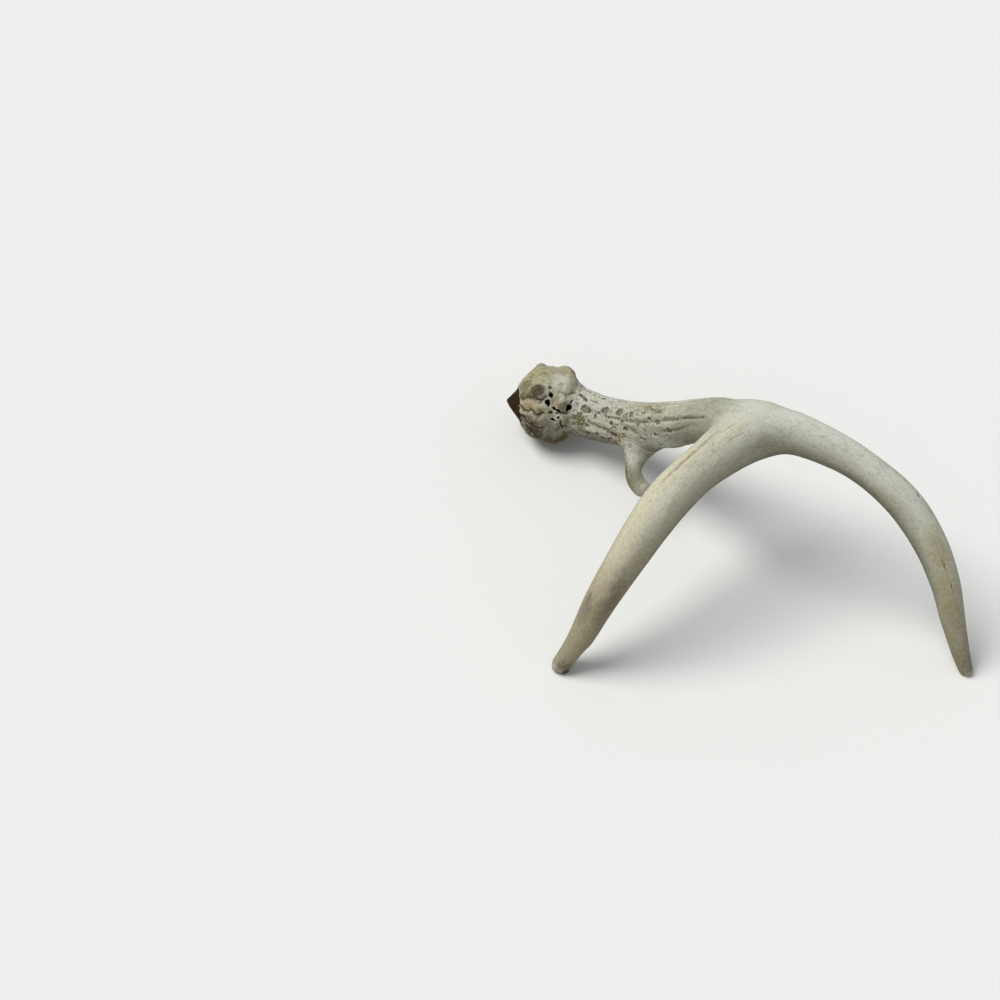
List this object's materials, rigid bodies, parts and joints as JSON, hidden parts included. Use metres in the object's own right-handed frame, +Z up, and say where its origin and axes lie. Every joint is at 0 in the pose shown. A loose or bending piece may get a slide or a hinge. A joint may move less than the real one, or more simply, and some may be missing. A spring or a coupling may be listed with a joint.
{
  "type": "deer antler",
  "caption": "Shed deer antler with a knobbly burr, a pitted main beam, a small brow tine and long curved prongs, resting on its burr and its tips.",
  "frame": {"origin": "on the surface the antler lies on, below the middle of its outline seen from above", "axes": "+X from the burr's side to the long rear tine's tip, +Y from the two tips back towards the burr, +Z up"},
  "size_m": [0.2945, 0.2399, 0.1299],
  "materials": {
    "weathered_bone": "dry weathered antler bone, matte, pale grey-cream with brown and olive stains"
  },
  "bodies": {
    "root": {"burr_and_beam": "weathered_bone", "brow_tine": "weathered_bone", "forward_prong": "weathered_bone", "rear_tine": "weathered_bone"}
  },
  "joints": []
}
